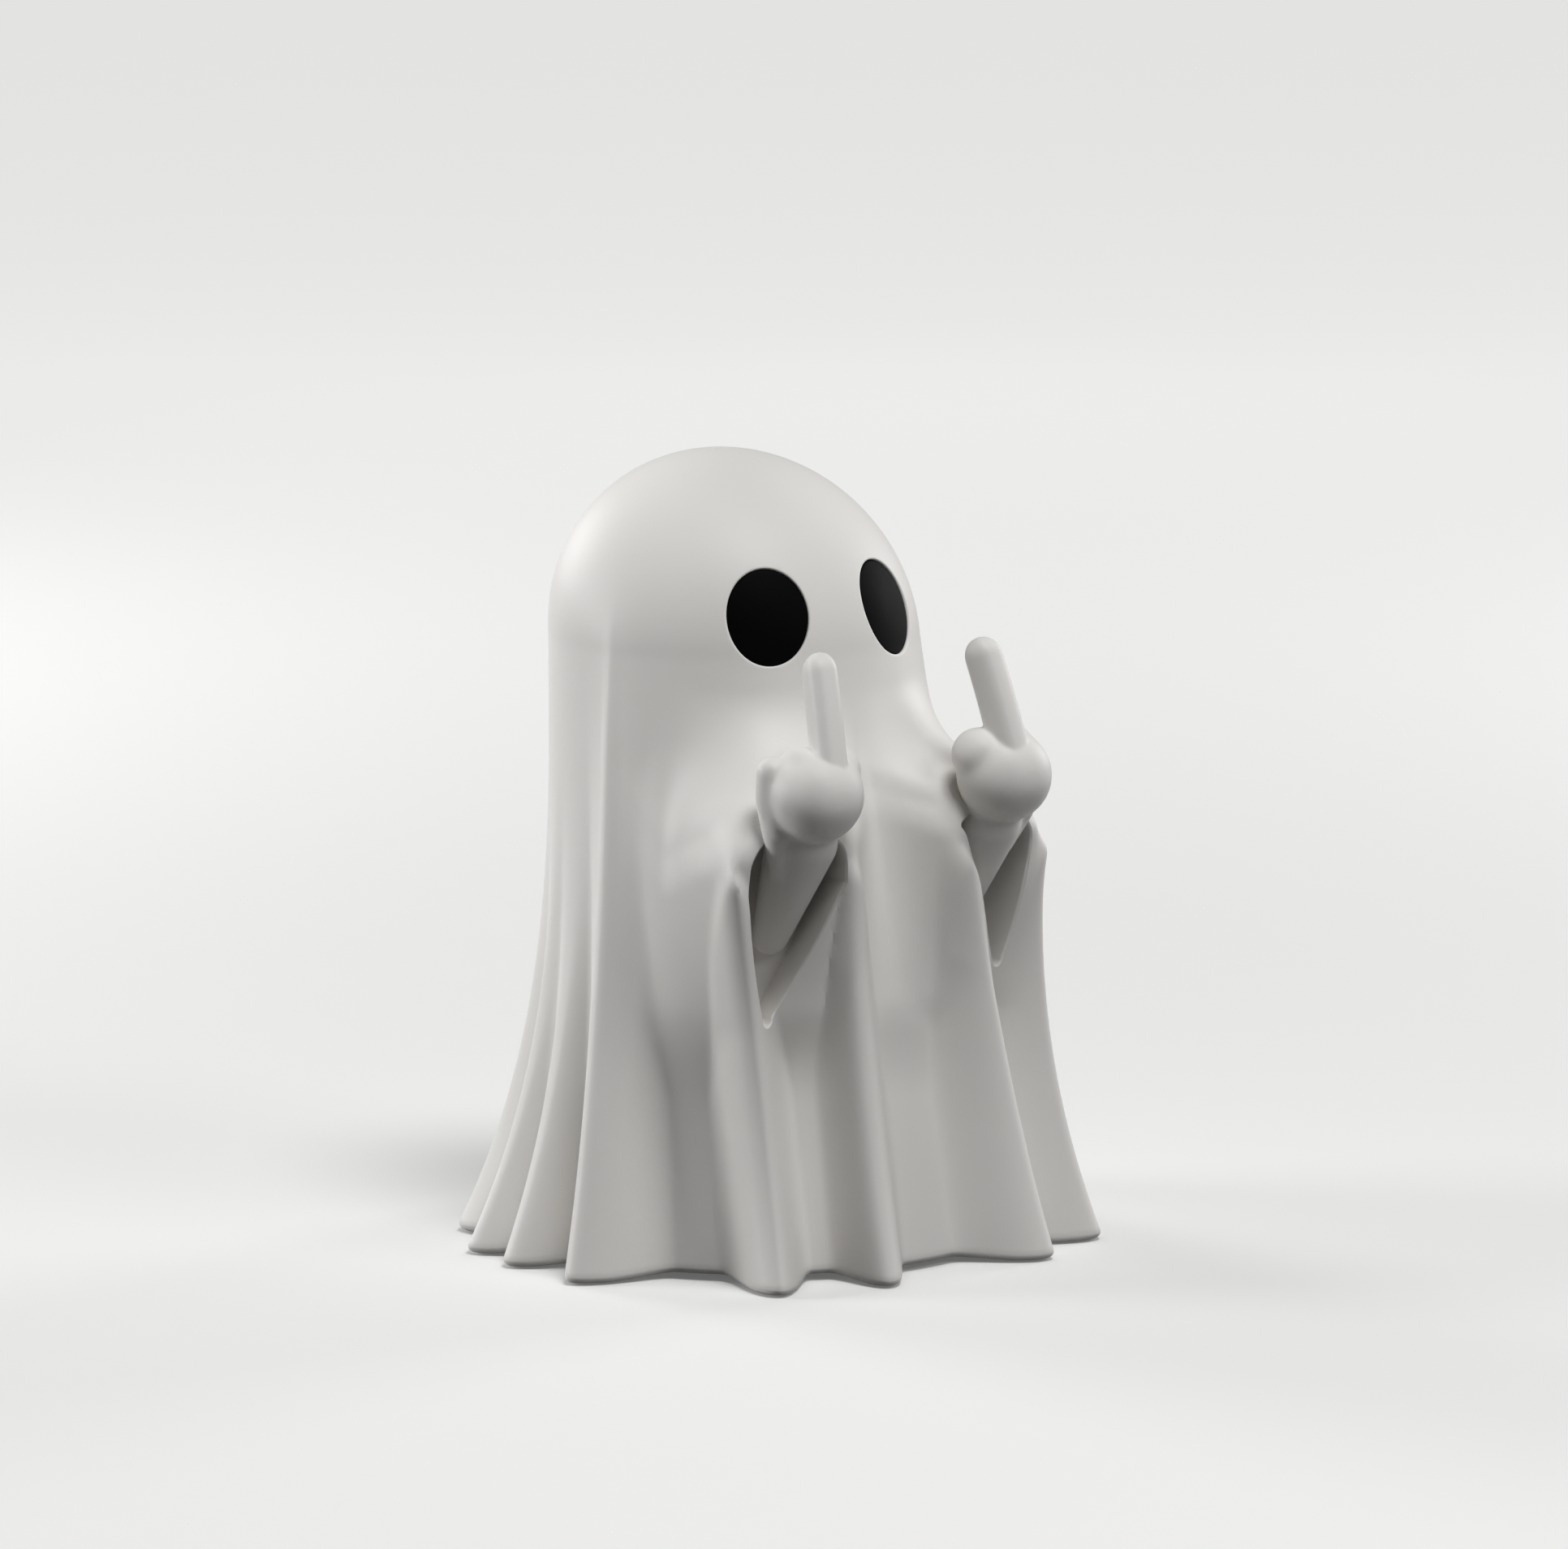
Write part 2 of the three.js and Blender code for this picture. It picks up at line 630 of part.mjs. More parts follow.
// A limb with round ends that tapers from one centre to the other.
function limb(from, to, fromRadius, toRadius) {
  const length = from.distanceTo(to);
  const profile = [];
  for (let i = 0; i <= LIMB_ARC; i++) {
    const turn = (Math.PI / 2) * (i / LIMB_ARC);
    profile.push(new THREE.Vector2(Math.sin(turn) * fromRadius, -Math.cos(turn) * fromRadius));
  }
  for (let i = 0; i <= LIMB_ARC; i++) {
    const turn = (Math.PI / 2) * (i / LIMB_ARC);
    profile.push(new THREE.Vector2(Math.cos(turn) * toRadius, length + Math.sin(turn) * toRadius));
  }
  profile[0].x = 0;
  profile[profile.length - 1].x = 0;
  const shape = new THREE.LatheGeometry(profile, LIMB_SIDES);
  return laidAlong(shape, to.clone().sub(from).normalize(), from);
}

// The finger is a rounded bar that narrows to a domed tip.
function finger(grow) {
  const lean = degToRad(FINGER_LEAN);
  const foot = fromFist(FINGER_ACROSS, FINGER_AHEAD, FINGER_FOOT_Z - FIST_Z);
  const along = new THREE.Vector3(0, 0, Math.cos(lean))
    .addScaledVector(ARM, -Math.sin(lean))
    .addScaledVector(ACROSS, -Math.tan(degToRad(FINGER_TILT)))
    .normalize();
  const thick = new THREE.Vector3().crossVectors(along, ACROSS).normalize();
  const length = (FINGER_TIP_Z - FINGER_FOOT_Z) / Math.cos(lean) + grow;
  const dome = FINGER_TIP_WIDTH * FINGER_DOME;
  const section = (at) => {
    const width = lerp(FINGER_FOOT_WIDTH, FINGER_TIP_WIDTH, at / length) / 2 + grow;
    const into = Math.max((at - (length - dome)) / dome, 0);
    const half = width * Math.sqrt(1 - into ** FINGER_SQUARENESS);
    return ring(FINGER_SIDES, (angle) => {
      const a = degToRad(angle);
      const [x, y] = [Math.cos(a), Math.sin(a)];
      const radius = half / (Math.abs(x) ** FINGER_SQUARENESS + Math.abs(y) ** FINGER_SQUARENESS)
        ** (1 / FINGER_SQUARENESS);
      return foot.clone()
        .addScaledVector(along, at)
        .addScaledVector(ACROSS, x * radius)
        .addScaledVector(thick, y * radius * FINGER_FLATNESS);
    });
  };
  const sections = [0, 0.5, 1].map((share) => section((length - dome) * share));
  for (let i = 1; i < FINGER_DOME_RINGS; i++) {
    sections.push(section(length - dome * (1 - Math.sin((Math.PI / 2) * (i / FINGER_DOME_RINGS)))));
  }
  return loft(sections, foot, foot.clone().addScaledVector(along, length));
}

function handShape(side, grow = 0) {
  const thumb = [THUMB_ROOT, THUMB_TIP].map((place) => fromFist(...place));
  const shapes = [
    fist(grow),
    finger(grow),
    limb(...thumb, THUMB_RADIUS + grow, THUMB_RADIUS + grow),
    limb(ELBOW, WRIST, ELBOW_RADIUS + grow, WRIST_RADIUS + grow),
  ];
  return unite(shapes.map((shape) => solid(onSide(side, shape))));
}

// A dowel runs from inside the elbow back through the wall, and its tail stands in the hollow.
function dowel(side, grow = 0) {
  const start = armPoint(0, bodyAhead(ELBOW_Z, 0) + DOWEL_GRIP + grow, ELBOW_Z);
  const end = armPoint(0, bodyAhead(ELBOW_Z, WALL) - DOWEL_TAIL - grow, ELBOW_Z);
  const radius = DOWEL_RADIUS + grow;
  const shape = new THREE.CylinderGeometry(radius, radius, start.distanceTo(end), DOWEL_SIDES);
  const middle = start.clone().lerp(end, 0.5);
  return solid(onSide(side, laidAlong(shape, ARM, middle)));
}

// Eyes. An oval bar along the skin's normal cuts the seat, and cuts the inlay out of the body.

function eyeBar(side, grow) {
  const angle = degToRad(EYE_ANGLE);
  const radius = bodyRadius(EYE_ANGLE, EYE_Z);
  const share = (EYE_Z - BROW_Z) / DOME_HEIGHT;
  const narrowing = (HEAD_RADIUS * share) / (DOME_HEIGHT * Math.sqrt(1 - share * share));
  const rise = LEAN * Math.cos(angle) + narrowing;
  const out = new THREE.Vector3(Math.sin(angle), -Math.cos(angle), rise).normalize();
  const across = new THREE.Vector3(Math.cos(angle), Math.sin(angle), 0);
  const oval = new THREE.Shape();
  oval.absellipse(0, 0, EYE_WIDTH / 2 + grow, EYE_HEIGHT / 2 + grow, 0, Math.PI * 2);
  const bar = new THREE.ExtrudeGeometry(oval, {
    depth: EYE_DEPTH + grow + CUT_PAST,
    bevelEnabled: false,
    curveSegments: EYE_SIDES,
  });
  bar.translate(0, 0, -EYE_DEPTH - grow);
  const upright = new THREE.Vector3().crossVectors(out, across);
  bar.applyMatrix4(new THREE.Matrix4().makeBasis(across, upright, out));
  bar.translate(...polar(EYE_ANGLE, radius, EYE_Z));
  return solid(onSide(side, bar));
}

// Pieces.

function sheetShell() {
  let shell = sheetSkin().subtract(cavity()).subtract(disc(GLUE_GAP, -CUT_PAST, LEDGE_Z));
  const plain = plainSkin(0, -CUT_PAST);
  for (const side of SIDES) {
    shell = shell
      .subtract(slotCutter(side).subtract(plain))
      .subtract(handShape(side, GLUE_GAP).subtract(plain))
      .subtract(dowel(side, GLUE_GAP))
      .subtract(eyeBar(side, GLUE_GAP));
  }
  return shell;
}

function hand(side) {
  return handShape(side).subtract(plainSkin(-GLUE_GAP, -CUT_PAST)).subtract(dowel(side, GLUE_GAP));
}

const eyeInlay = (side) => eyeBar(side, 0).intersect(plainSkin(EYE_RECESS, LEDGE_Z));

const ghost = new THREE.Group();
ghost.add(meshOf("sheet_shell", sheetShell(), SHEET_WHITE, SATIN));
for (const side of SIDES) {
  ghost.add(
    meshOf(`${SIDE_NAME[side]}_hand`, hand(side), SHEET_WHITE, SATIN),
    meshOf(`${SIDE_NAME[side]}_eye`, eyeInlay(side), EYE_BLACK, GLOSS),
    meshOf(`${SIDE_NAME[side]}_arm_dowel`, dowel(side), BEECH, DRY_WOOD),
  );
}
ghost.add(
  meshOf("base_plate", disc(0, PLATE_LOW_Z, PLATE_TOP_Z), SHEET_WHITE, SATIN),
  meshOf("felt_pad", disc(-FELT_MARGIN, 0, FELT_THICKNESS), FELT_BLACK, FUZZY),
);

export default ghost;
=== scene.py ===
import bpy
import math
import numpy as np
from mathutils import Matrix, Vector


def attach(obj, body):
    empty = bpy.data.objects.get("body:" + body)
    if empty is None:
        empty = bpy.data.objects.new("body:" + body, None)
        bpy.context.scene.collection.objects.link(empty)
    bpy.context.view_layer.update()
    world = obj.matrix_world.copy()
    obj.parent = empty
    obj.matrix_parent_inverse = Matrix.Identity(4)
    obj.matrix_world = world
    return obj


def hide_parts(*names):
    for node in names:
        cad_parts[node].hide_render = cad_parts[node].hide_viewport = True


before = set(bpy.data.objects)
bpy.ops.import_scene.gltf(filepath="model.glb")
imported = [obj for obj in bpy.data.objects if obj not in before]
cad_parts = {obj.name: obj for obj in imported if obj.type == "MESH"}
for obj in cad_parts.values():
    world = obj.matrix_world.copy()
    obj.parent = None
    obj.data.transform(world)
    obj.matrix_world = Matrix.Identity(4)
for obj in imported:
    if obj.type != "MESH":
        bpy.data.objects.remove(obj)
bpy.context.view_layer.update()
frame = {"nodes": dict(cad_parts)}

# A white cast ghost in a draped sheet. Lengths are in millimetres until a mesh is placed.
# +Z is up, the face looks along -Y and the ghost's own left is +X.
MM = 0.001
RIGHT, LEFT = -1, 1
SIDE_NAME = {RIGHT: "right", LEFT: "left"}

# Body of the sheet.
BROW_Z = 116
DOME_HEIGHT = 36
HEAD_RADIUS = 36
LEAN = 0.128
TAPER = 8
FRONT_FLARE = -1.3
BACK_FLARE = 11
FLARE_POWER = 3.6
WALL = 4.5
HEM_WALL = 6
HEM_WALL_HEIGHT = 14
HEM_CLEARANCE = 0.3
HEM_LIFT = 0.8
HEM_ROUND = 1.2
FULL_CREST = 10
GLUE_GAP = 0.3
PLATE_TOP_Z = 4.5
LEDGE_WIDTH = 2.5
LEDGE_Z = PLATE_TOP_Z + GLUE_GAP
CUT_PAST = 2
SEARCH_STEPS = 30
NEARLY_NONE = 1e-6

# Folds: angle at the hem, rise, width towards the face, width towards the back, top, lateness.
FOLDS = [
    (-76, 13.5, 15, 13, 127, 1.5),
    (-95, 12, 10, 12, 104, 2.4),
    (-109, 12.3, 9, 12, 104, 2.6),
    (-130, 10.5, 13, 12, 108, 2.4),
    (-151, 9, 11, 12, 100, 2.4),
    (-172, 10, 12, 12, 108, 2.2),
    (167, 9.5, 11, 12, 100, 2.4),
    (147, 9, 11, 11, 104, 2.6),
    (128, 10, 11, 11, 106, 2.4),
    (109, 10.5, 10, 11, 100, 2.4),
    (91, 11, 11, 11, 104, 2.4),
    (72, 12, 13, 12, 122, 1.9),
]
FOLD_BLEND = 2

# Sleeves.
YAW = math.radians(11.5)
MOUTH_X = 23.4
MOUTH_Z = 82.5
MOUTH_REACH = 53.4
MOUTH_SLOPE = 0.3
SLEEVE_FADE_TOP_Z = 52
SLEEVE_FADE_END_Z = 32
INNER_LIP_ANGLE = 13.4
OUTER_LIP_ANGLE = 38.5
CHEST_ANGLE = -2
CHEST_EASE = 4
CHEST_END_ANGLE = -24
FLANK_ANGLE = 68
FLANK_EASE = 6
FLANK_END_ANGLE = 88
FLANK_SOFTNESS = 7
LIP_SOFTNESS = 5
LEAST_FACING = 0.1
FAR_OFF = 1e3
ROOF_TOP_Z = 110
ROOF_SWELL = 0.042
ROOF_ANGLE = 26
ROOF_SPREAD = 34
ROOF_LIFT_Z = 101
ROOF_LIFT = 0.008
ROOF_SOFTNESS = 14
RIDGE_SOFTNESS = 6
PINCH_ANGLE = -76
PINCH_RISE = 1
PINCH_WIDTH = 2.6
PINCH_TOP_Z = 128
PINCH_FULL_Z = 96
CURTAIN_TOP_Z = 90
CURTAIN_SHOULDER = 14
CURTAIN_DROP = 24
CURTAIN_SLACK = 12

# Curtains: side, lip angle, angle at the hem, middle radius, hem radius, widths, turn.
CURTAIN_MID_Z = 45
CURTAINS = [
    (RIGHT, INNER_LIP_ANGLE, 13, 49.5, 54.4, 12, 10, 1),
    (RIGHT, OUTER_LIP_ANGLE, 35.5, 52.5, 58.8, 8, 15, 1),
    (LEFT, INNER_LIP_ANGLE, 29.4, 51.5, 58, 15, 14, 2.4),
    (LEFT, OUTER_LIP_ANGLE, 49.7, 55.8, 63, 13, 20, 1.4),
]

# Sleeve slots.
SLOT_HALF_WIDTH = 9.8
SLOT_TOP_Z = 87
SLOT_SHOULDER_Z = 79
SLOT_SIDE_Z = 76
SLOT_INNER_Z = {RIGHT: 76, LEFT: 84}
SLOT_TIP_SHIFT = 4
SLOT_TIP_RADIUS = 1.3
SLOT_TIP_Z = {RIGHT: 49, LEFT: 55}
SLOT_BELLY = {RIGHT: 2.2, LEFT: 0}
SLOT_OUTER_BELLY = 1.1
SLOT_LIP = 0.6
LIP_TURN = 62
LIP_STEPS = 6
SLOT_CLEARANCE = 12
SIDE_STEPS = 60
TIP_STEPS = 16
SKIN_SEARCH = (-25.0, 12.0)

# Eyes.
EYE_ANGLE = 24
EYE_SHARE = 0.22
EYE_Z = BROW_Z + DOME_HEIGHT * EYE_SHARE
EYE_WIDTH = 15.7
EYE_HEIGHT = 18.8
EYE_DEPTH = 2.8
EYE_RECESS = 0.4
EYE_GAP = 0.05
RIM_ROUND = 0.45
EYE_EDGE = 0.3
EDGE_STEPS = 5
EYE_SEARCH = 6.0


# Sheet shape

def smoothstep(x, low, high):
    share = np.clip((x - low) / (high - low), 0, 1)
    return share * share * (3 - 2 * share)


def mix(a, b, share):
    return a + (b - a) * share


def body_radius(angle, z, inset=0.0):
    share = np.clip((z - BROW_Z) / (DOME_HEIGHT - inset), 0, 1)
    dome = (HEAD_RADIUS - inset) * np.sqrt(1 - share * share)
    down = np.clip(1 - z / BROW_Z, 0, None)
    flare = mix(FRONT_FLARE, BACK_FLARE, (1 - np.cos(np.radians(angle))) / 2)
    return np.where(z > BROW_Z, dome, HEAD_RADIUS + TAPER * down + flare * down ** FLARE_POWER - inset)


def crest(angle, at, front, back):
    away = ((angle - at + 540) % 360 - 180) * np.sign(at)
    share = np.minimum(np.abs(away) / np.where(away > 0, back, front), 1)
    return 0.5 + 0.5 * np.cos(np.pi * share)


def fold_rise(fold, angle, z):
    at, rise, front, back, top, late = fold
    swell = np.clip(1 - np.maximum(z, 0) / top, 0, 1) ** late
    return rise * swell * crest(angle, at, front, back)


def shoulder(z, share):
    top = CURTAIN_TOP_Z - CURTAIN_DROP * (1 - share)
    low = top - CURTAIN_SHOULDER - CURTAIN_SLACK * (1 - share)
    return 1 - smoothstep(z, low, top)


def plane_reach(z):
    return MOUTH_REACH - MOUTH_SLOPE * (MOUTH_Z - z)


def arm_offset(z):
    return (MOUTH_X - math.sin(YAW) * plane_reach(z)) / math.cos(YAW)


def plane_radius(away, z):
    return plane_reach(z) / np.cos(np.radians(away) - YAW)


def line_radius(angle, from_angle, from_radius, to_angle, to_radius):
    """Where a ray from the axis meets the straight line through two places round the axis."""
    turn, a, b = (np.radians(t) for t in (angle, from_angle, to_angle))
    facing = from_radius * np.sin(turn - a) + to_radius * np.sin(b - turn)
    return from_radius * to_radius * np.sin(b - a) / np.maximum(facing, 1e-3)


def soft(a, b, softness):
    """How far the edge between two overlapping rises is eased."""
    reach = np.minimum(softness, np.maximum(np.minimum(a, b), NEARLY_NONE))
    near = np.maximum(reach - np.abs(a - b), 0) / reach
    return near * near * reach / 4


def soft_least(a, b, softness):
    return np.minimum(a, b) - soft(a, b, softness)


def soft_most(a, b, softness):
    return np.maximum(a, b) + soft(a, b, softness)


def eased(rise, softness):
    """A rise that starts from nothing along a curve."""
    return np.where(rise > softness, rise, np.maximum(rise + softness, 0) ** 2 / (4 * softness))


def sleeve_rise(side, angle, z):
    away = ((angle + 180) % 360 - 180) * side
    plain = body_radius(angle, z)
    chest = body_radius(CHEST_ANGLE, z)
    ribs = body_radius(FLANK_ANGLE, z)
    inner_lip = plane_radius(INNER_LIP_ANGLE, z)
    outer_lip = plane_radius(OUTER_LIP_ANGLE, z)
    ahead = np.cos(np.radians(away) - YAW)
    mouth = np.where(ahead > LEAST_FACING, plane_reach(z) / np.maximum(ahead, LEAST_FACING), FAR_OFF)
    inner = line_radius(away, CHEST_ANGLE, chest, INNER_LIP_ANGLE, inner_lip)
    outer = line_radius(away, OUTER_LIP_ANGLE, outer_lip, FLANK_ANGLE, ribs)
    taut = soft_least(soft_least(mouth, outer, LIP_SOFTNESS), inner, LIP_SOFTNESS)
    draped = eased(taut - plain, FLANK_SOFTNESS)
    draped = draped * smoothstep(away, CHEST_END_ANGLE, CHEST_ANGLE - CHEST_EASE)
    draped = draped * (1 - smoothstep(away, FLANK_ANGLE - FLANK_EASE, FLANK_END_ANGLE))
    swell = ROOF_SWELL * np.maximum(ROOF_TOP_Z - z, 0) ** 2
    roof = swell * (0.5 + 0.5 * np.cos(np.pi * np.clip((away - ROOF_ANGLE) / ROOF_SPREAD, -1, 1)))
    roof = roof + ROOF_LIFT * np.maximum(ROOF_LIFT_Z - z, 0) ** 2
    fade = smoothstep(z, SLEEVE_FADE_END_Z, SLEEVE_FADE_TOP_Z)
    return soft_least(draped, roof, ROOF_SOFTNESS) * fade


def curtain_rise(curtain, angle, z):
    side, lip, hem_at, mid, hem, front, back, turn = curtain
    height = np.clip(z / MOUTH_Z, 0, 1)
    at = mix(hem_at, lip, height ** turn) * side
    top = plane_radius(lip, MOUTH_Z)
    middle = CURTAIN_MID_Z / MOUTH_Z
    bow = (mid - mix(hem, top, middle)) / (middle * (1 - middle))
    radius = mix(hem, top, height) + bow * height * (1 - height)
    rise = np.maximum(radius - body_radius(at, z), 0)
    share = crest(angle, at, front, back)
    return rise * share * shoulder(z, share)


def pinch_rise(angle, z):
    """The sharp crest of the fold beside the face."""
    away = ((angle - PINCH_ANGLE + 540) % 360 - 180) / PINCH_WIDTH
    return PINCH_RISE * np.exp(-away * away) * (1 - smoothstep(z, PINCH_FULL_Z, PINCH_TOP_Z))


def blend(values, power):
    return sum(v ** power for v in values) ** (1 / power)


def sheet_rise(angle, z):
    """How far the sheet stands out from the plain body."""
    folds = [fold_rise(fold, angle, z) for fold in FOLDS]
    front = soft_most(sleeve_rise(RIGHT, angle, z), sleeve_rise(LEFT, angle, z), FLANK_SOFTNESS)
    for curtain in CURTAINS:
        front = soft_most(front, curtain_rise(curtain, angle, z), RIDGE_SOFTNESS)
    return blend([front, *folds], FOLD_BLEND) + pinch_rise(angle, z)


def polar(angle, radius, z):
    a = np.radians(angle)
    return np.stack([np.sin(a) * radius, LEAN * z - np.cos(a) * radius, z + 0 * radius], axis=-1)


# Making and finishing meshes

def deselect():
    bpy.ops.object.select_all(action="DESELECT")


def activate(piece):
    deselect()
    piece.select_set(True)
    bpy.context.view_layer.objects.active = piece


def moulded(name, columns, rows, place, halvings=0):
    """A ball whose points are moved to place(column, row), row 0 being the top pole."""
    deselect()
    coarse = 2 ** halvings
    bpy.ops.mesh.primitive_uv_sphere_add(segments=columns // coarse, ring_count=rows // coarse, radius=1)
    ball = bpy.context.object
    ball.name = name
    ball.data.name = name
    if halvings:
        apply(ball, "SUBSURF", subdivision_type="SIMPLE", levels=halvings, render_levels=halvings)
    count = len(ball.data.vertices)
    points = np.empty(count * 3)
    ball.data.vertices.foreach_get("co", points)
    x, y, z = points.reshape(-1, 3).T
    far = np.maximum(np.sqrt(x * x + y * y + z * z), 1e-9)
    row = np.rint(np.arccos(np.clip(z / far, -1, 1)) / np.pi * rows)
    column = np.rint(np.arctan2(x, -y) / (2 * np.pi) * columns)
    pole = (row == 0) | (row == rows)
    column[pole] = 0
    ball.data.vertices.foreach_set("co", (place(column, row) * MM).ravel())
    ball.data.update()
    return ball


def outward(piece):
    """Turns every face of a closed piece outwards."""
    activate(piece)
    bpy.ops.object.mode_set(mode="EDIT")
    bpy.ops.mesh.select_all(action="SELECT")
    bpy.ops.mesh.normals_make_consistent(inside=False)
    bpy.ops.object.mode_set(mode="OBJECT")


def apply(piece, kind, **settings):
    activate(piece)
    modifier = piece.modifiers.new(kind.lower(), kind)
    for key, value in settings.items():
        setattr(modifier, key, value)
    bpy.ops.object.modifier_apply(modifier=modifier.name)


def cut(piece, cutter, operation="DIFFERENCE", keep=False):
    apply(piece, "BOOLEAN", object=cutter, operation=operation, solver="MANIFOLD")
    if not keep:
        bpy.data.objects.remove(cutter, do_unlink=True)


def copied(piece):
    twin = piece.copy()
    twin.data = piece.data.copy()
    bpy.context.collection.objects.link(twin)
    return twin


def mirrored(piece, name):
    """A copy on the ghost's right of a piece made on its left."""
    twin = copied(piece)
    twin.name = name
    twin.data.name = name
    twin.data.transform(Matrix.Scale(-1, 4, (1, 0, 0)))
    twin.data.flip_normals()
    return twin


def joined(pieces, name):
    deselect()
    for piece in pieces:
        piece.select_set(True)
    bpy.context.view_layer.objects.active = pieces[0]
    bpy.ops.object.join()
    pieces[0].name = name
    pieces[0].data.name = name
    return pieces[0]


SHEET_EDGE = 40
EYE_RIM_EDGE = 50
HAND_EDGE = 60


def shade(piece, degrees):
    activate(piece)
    bpy.ops.object.shade_smooth_by_angle(angle=math.radians(degrees))


# Sheet

SHEET_COLUMNS = 440
DOME_ROWS = 48
SIDE_ROWS = 114
HEM_ROWS = 5


def hem_height(angle):
    share = np.minimum(sheet_rise(angle, np.zeros_like(angle)) / FULL_CREST, 1)
    return HEM_CLEARANCE + HEM_LIFT * (1 - share)


def draped_skin():
    rows = DOME_ROWS + SIDE_ROWS + HEM_ROWS + 1

    def place(column, row):
        angle = column * (360 / SHEET_COLUMNS)
        hem = hem_height(angle)
        dome_z = BROW_Z + DOME_HEIGHT * np.cos(np.clip(row / DOME_ROWS, 0, 1) * np.pi / 2)
        down = np.clip((row - DOME_ROWS) / SIDE_ROWS, 0, 1)
        z = np.where(row <= DOME_ROWS, dome_z, mix(BROW_Z, hem + HEM_ROUND, down))
        under = np.clip((row - DOME_ROWS - SIDE_ROWS) / HEM_ROWS, 0, 1) * np.pi / 2
        radius = body_radius(angle, z) + sheet_rise(angle, z) - HEM_ROUND * (1 - np.cos(under))
        points = polar(angle, radius, z)
        points[:, 2] -= HEM_ROUND * np.sin(under)
        points[row == rows] = (0, 0, HEM_CLEARANCE + HEM_LIFT)
        points[row == 0] = (0, LEAN * (BROW_Z + DOME_HEIGHT), BROW_Z + DOME_HEIGHT)
        return points

    return moulded("draped_skin", SHEET_COLUMNS, rows, place, halvings=2)


def plain_body(name, inset, low_z, thicker=None, columns=160, side_rows=24, dome_rows=24):
    rows = dome_rows + side_rows + 1

    def place(column, row):
        angle = column * (360 / columns)
        dome_z = BROW_Z + (DOME_HEIGHT - inset) * np.cos(np.clip(row / dome_rows, 0, 1) * np.pi / 2)
        down = np.clip((row - dome_rows) / side_rows, 0, 1)
        z = np.where(row <= dome_rows, dome_z, mix(BROW_Z, low_z, down))
        radius = body_radius(angle, z, inset)
        if thicker is not None:
            radius = radius - thicker(z)
        points = polar(angle, radius, z)
        points[row == rows] = (0, LEAN * low_z, low_z)
        top = BROW_Z + DOME_HEIGHT - inset
        points[row == 0] = (0, LEAN * top, top)
        return points

    return moulded(name, columns, rows, place)


ARM = np.array([math.sin(YAW), -math.cos(YAW), 0])
ACROSS = np.array([math.cos(YAW), math.sin(YAW), 0])


def arm_point(across, ahead, z):
    across, ahead, z = np.broadcast_arrays(*map(np.asarray, (across, ahead, z)))
    axis = np.stack([0 * z, LEAN * z, z], axis=-1)
    return axis + ARM * (plane_reach(z) + ahead)[..., None] + ACROSS * (arm_offset(z) + across)[..., None]


def body_ahead(z, inset):
    radius = body_radius((INNER_LIP_ANGLE + OUTER_LIP_ANGLE) / 2, z, inset)
    return math.sqrt(radius ** 2 - arm_offset(z) ** 2) - plane_reach(z)


def bezier(a, b, c, count):
    t = np.arange(count)[:, None] / count
    return a * (1 - t) ** 2 + b * 2 * t * (1 - t) + c * t * t


def slot_outline(side, count):
    """Points round a slot, evenly spaced, as (across, height)."""
    tip = np.array([SLOT_TIP_SHIFT, SLOT_TIP_Z[side] + SLOT_TIP_RADIUS])
    inner_z = SLOT_INNER_Z[side]
    turn = np.linspace(0, np.pi, SIDE_STEPS)
    springing = np.where(turn < np.pi / 2, SLOT_SHOULDER_Z, max(SLOT_SHOULDER_Z, inner_z))
    arch = np.stack([np.cos(turn) * SLOT_HALF_WIDTH,
                     springing + np.sin(turn) * (SLOT_TOP_Z - springing)], axis=1)
    half = (tip[1] + SLOT_SIDE_Z) / 2
    inner = bezier(np.array([-SLOT_HALF_WIDTH, inner_z]),
                   np.array([(tip[0] - SLOT_HALF_WIDTH) / 2 - SLOT_BELLY[side],
                             (tip[1] + inner_z) / 2]),
                   np.array([tip[0] - SLOT_TIP_RADIUS, tip[1]]), SIDE_STEPS)
    turn = np.linspace(np.pi, 2 * np.pi, TIP_STEPS)
    point = tip + SLOT_TIP_RADIUS * np.stack([np.cos(turn), np.sin(turn)], axis=1)
    outer = bezier(np.array([tip[0] + SLOT_TIP_RADIUS, tip[1]]),
                   np.array([SLOT_HALF_WIDTH - SLOT_OUTER_BELLY, half]),
                   np.array([SLOT_HALF_WIDTH, SLOT_SIDE_Z]), SIDE_STEPS)
    path = np.concatenate([arch, inner, point, outer])
    closed = np.concatenate([path, path[:1]])
    length = np.concatenate([[0], np.cumsum(np.linalg.norm(np.diff(closed, axis=0), axis=1))])
    at = np.arange(count) * length[-1] / count
    return np.stack([np.interp(at, length, closed[:, k]) for k in (0, 1)], axis=1)


def skin_ahead(side, flat):
    """How far the sheet stands ahead of the mouth plane at places given across the arm and up."""
    low, high = (np.full(len(flat), limit) for limit in SKIN_SEARCH)
    for _ in range(SEARCH_STEPS):
        middle = (low + high) / 2
        x, y, z = arm_point(flat[:, 0], middle, flat[:, 1]).T
        angle = np.degrees(np.arctan2(side * x, LEAN * z - y))
        inside = np.hypot(x, LEAN * z - y) < body_radius(angle, z) + sheet_rise(angle, z)
        low, high = np.where(inside, middle, low), np.where(inside, high, middle)
    return low


